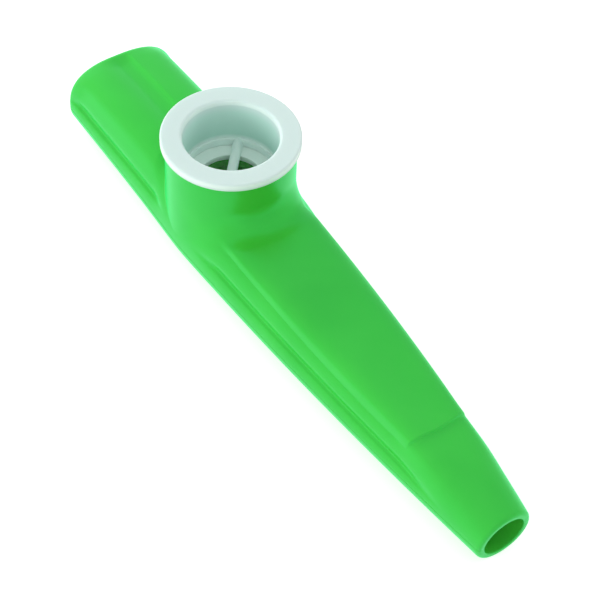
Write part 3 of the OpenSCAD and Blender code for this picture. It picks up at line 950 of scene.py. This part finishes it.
def satin_white_polyethylene():
    """White polyethylene cap: a waxy satin that lets light in. Its colour paints light and shade
    by height: the bar and land at the bottom are painted lighter against their shade, the skirt
    is painted green for the light that comes through the green cup round it, and the flange's
    side is painted lighter than its top."""
    finish, tree = new_finish("satin_white_polyethylene")
    place, normal, roughness = moulded_skin(
        tree, ripple_mm=1.1, depth_mm=0.003, gloss_mm=6, rough=(0.38, 0.48))
    height = add(tree, "ShaderNodeSeparateXYZ", {"Vector": place}).outputs["Z"]
    share = add(tree, "ShaderNodeMapRange", {
        "Value": height, "From Min": cap_low[2] * MM, "From Max": cap_high[2] * MM})
    # Painted light and shade by height, from the ramp of cap tints above
    colour = add(tree, "ShaderNodeValToRGB", {"Fac": share.outputs["Result"]})
    stops = colour.color_ramp.elements
    while len(stops) < len(CAP_PAINTED_LIGHT_TINTS):
        stops.new(1)
    for stop, (at, code) in zip(stops, CAP_PAINTED_LIGHT_TINTS):
        stop.position, stop.color = at, linear(code)
    shader = add(tree, "ShaderNodeBsdfPrincipled", {
        "Base Color": colour.outputs["Color"], "Roughness": roughness, "Normal": normal,
        "IOR": 1.5, "Specular IOR Level": 0.35, "Subsurface Weight": 0.3,
        "Subsurface Radius": (1.0, 1.0, 0.9), "Subsurface Scale": 1.2 * MM})
    add(tree, "ShaderNodeOutputMaterial", {"Surface": shader.outputs[0]})
    return finish


def matt_white_ring_plastic():
    """Stamped matt white plastic of the membrane's ring, with a fine even grain."""
    finish, tree = new_finish("matt_white_ring_plastic")
    _, normal, roughness = moulded_skin(
        tree, ripple_mm=0.35, depth_mm=0.006, gloss_mm=3, rough=(0.5, 0.6))
    shader = add(tree, "ShaderNodeBsdfPrincipled", {
        "Base Color": linear("#EEFCF6"), "Roughness": roughness, "Normal": normal, "IOR": 1.5})
    add(tree, "ShaderNodeOutputMaterial", {"Surface": shader.outputs[0]})
    return finish


def clear_membrane_film():
    """Thin clear polyester film: nearly unseen, with a soft sheen and slight wrinkles."""
    finish, tree = new_finish("clear_polyester_film")
    _, normal, roughness = moulded_skin(
        tree, ripple_mm=2.5, depth_mm=0.01, gloss_mm=4, rough=(0.05, 0.1))
    shader = add(tree, "ShaderNodeBsdfPrincipled", {
        "Base Color": linear("#F2F8F4"), "Roughness": roughness, "Normal": normal,
        "IOR": 1.3, "Alpha": 0.03})
    add(tree, "ShaderNodeOutputMaterial", {"Surface": shader.outputs[0]})
    return finish


# Pieces

green = glossy_green_styrene()
white = satin_white_polyethylene()
turning = turning_tree()


def finished(piece, body, node, finish=None, crease=32):
    """Gives a piece its finish and soft shading, and puts it in its node's place."""
    if finish:
        piece.data.materials.clear()
        piece.data.materials.append(finish)
    piece.data.polygons.foreach_set("use_smooth", [True] * len(piece.data.polygons))
    piece.data.set_sharp_from_angle(angle=math.radians(crease))
    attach(piece, body)
    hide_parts(node)


finished(upper_shell(), "body", "upper_shell", green)
finished(lower_shell(), "body", "lower_shell", green)
finished(cap(turning, white), "cap", "cap", white)
finished(membrane_ring(turning, matt_white_ring_plastic()),
         "membrane", "membrane_ring")
finished(membrane_film(turning, clear_membrane_film()),
         "membrane", "membrane_film")

# Camera, in the photograph's place

TARGET = Vector((17.58, -10.37, 25.0)) * MM
DISTANCE = 228.96 * MM
AZIMUTH, ELEVATION, ROLL = (math.radians(a) for a in (53.407, 49.987, 3.632))


def photograph_camera():
    """Camera above and beyond the outlet, to one side, as in the photograph."""
    data = bpy.data.cameras.new("camera")
    data.lens, data.sensor_width, data.clip_start = 90, 36, 0.01
    camera = bpy.data.objects.new("camera", data)
    bpy.context.scene.collection.objects.link(camera)
    back = Vector((math.sin(AZIMUTH) * math.cos(ELEVATION),
                   -math.cos(AZIMUTH) * math.cos(ELEVATION), math.sin(ELEVATION)))
    level = Vector((math.cos(AZIMUTH), math.sin(AZIMUTH), 0))
    upright = back.cross(level)
    right = level * math.cos(ROLL) + upright * math.sin(ROLL)
    up = upright * math.cos(ROLL) - level * math.sin(ROLL)
    turn = Matrix((right, up, back)).transposed().to_4x4()
    camera.matrix_world = Matrix.Translation(TARGET + back * DISTANCE) @ turn
    bpy.context.scene.camera = camera


photograph_camera()

# Floor, background and lamps

FLOOR_SIDE = 4.0


def seen_directly(tree, shares):
    """Strength for camera rays and for reflections, and 0 for the light that falls on
    the object."""
    rays = add(tree, "ShaderNodeLightPath").outputs
    total = None
    for name, share in shares.items():
        part = add(tree, "ShaderNodeMath", {0: rays[name], 1: share},
                   operation="MULTIPLY").outputs[0]
        total = part if total is None else add(
            tree, "ShaderNodeMath", {0: total, 1: part}, operation="MAXIMUM").outputs[0]
    return total


def studio_floor():
    """Plain pale floor, which looks white and keeps the object's shadow."""
    half = FLOOR_SIDE / 2
    mesh = bpy.data.meshes.new("floor")
    mesh.from_pydata([(-half, -half, 0), (half, -half, 0), (half, half, 0), (-half, half, 0)],
                     [], [(0, 1, 2, 3)])
    floor = placed("studio_floor", mesh)
    finish, tree = new_finish("white_paper_sweep")
    paper = add(tree, "ShaderNodeBsdfDiffuse", {"Color": linear("#D6D6D6")})
    glow = add(tree, "ShaderNodeEmission", {"Strength": seen_directly(tree, {
        "Is Camera Ray": 0.62, "Is Glossy Ray": 0.7, "Is Transmission Ray": 0.2})})
    both = add(tree, "ShaderNodeAddShader", {0: paper.outputs[0], 1: glow.outputs[0]})
    add(tree, "ShaderNodeOutputMaterial", {"Surface": both.outputs[0]})
    mesh.materials.append(finish)


def studio_air(strength):
    """Even light from all round, with a white background behind it."""
    world = bpy.data.worlds.new("studio")
    world.use_nodes = True
    tree = world.node_tree
    tree.nodes.clear()
    light = add(tree, "ShaderNodeBackground", {"Color": (1, 1, 1, 1), "Strength": strength})
    seen = add(tree, "ShaderNodeBackground", {"Color": (1, 1, 1, 1), "Strength": 1.0})
    share = seen_directly(tree, {
        "Is Camera Ray": 1.0, "Is Glossy Ray": 1.0, "Is Transmission Ray": 1.0})
    mixed = add(tree, "ShaderNodeMixShader", {0: share, 1: light.outputs[0], 2: seen.outputs[0]})
    add(tree, "ShaderNodeOutputWorld", {"Surface": mixed.outputs[0]})
    bpy.context.scene.world = world


def softbox(name, place, aim, size, power):
    """Soft lamp that fills from one side: its place and size in metres and its power in
    watts. The shine comes from the white surroundings, so reflections leave it out."""
    data = bpy.data.lights.new(name, "AREA")
    data.shape, data.size, data.size_y, data.energy = "RECTANGLE", size[0], size[1], power
    lamp = bpy.data.objects.new(name, data)
    bpy.context.scene.collection.objects.link(lamp)
    lamp.location = place
    lamp.rotation_euler = (Vector(aim) - Vector(place)).to_track_quat("-Z", "Y").to_euler()
    lamp.visible_camera = lamp.visible_glossy = False


studio_floor()
studio_air(0.62)
middle = (cad_box[0] + cad_box[1]) / 2
softbox("far_softbox", (-0.74, 0.0, 0.24), middle, (0.4, 0.4), 3.0)
softbox("left_softbox", (-0.2, -0.72, 0.21), middle, (0.6, 0.35), 3.0)
softbox("right_softbox", (0.16, 0.7, 0.34), middle, (0.4, 0.4), 1.5)
softbox("front_card", (0.6, -0.48, 0.22), middle, (0.4, 0.4), 0.9)

bpy.context.scene.view_settings.view_transform = "Standard"
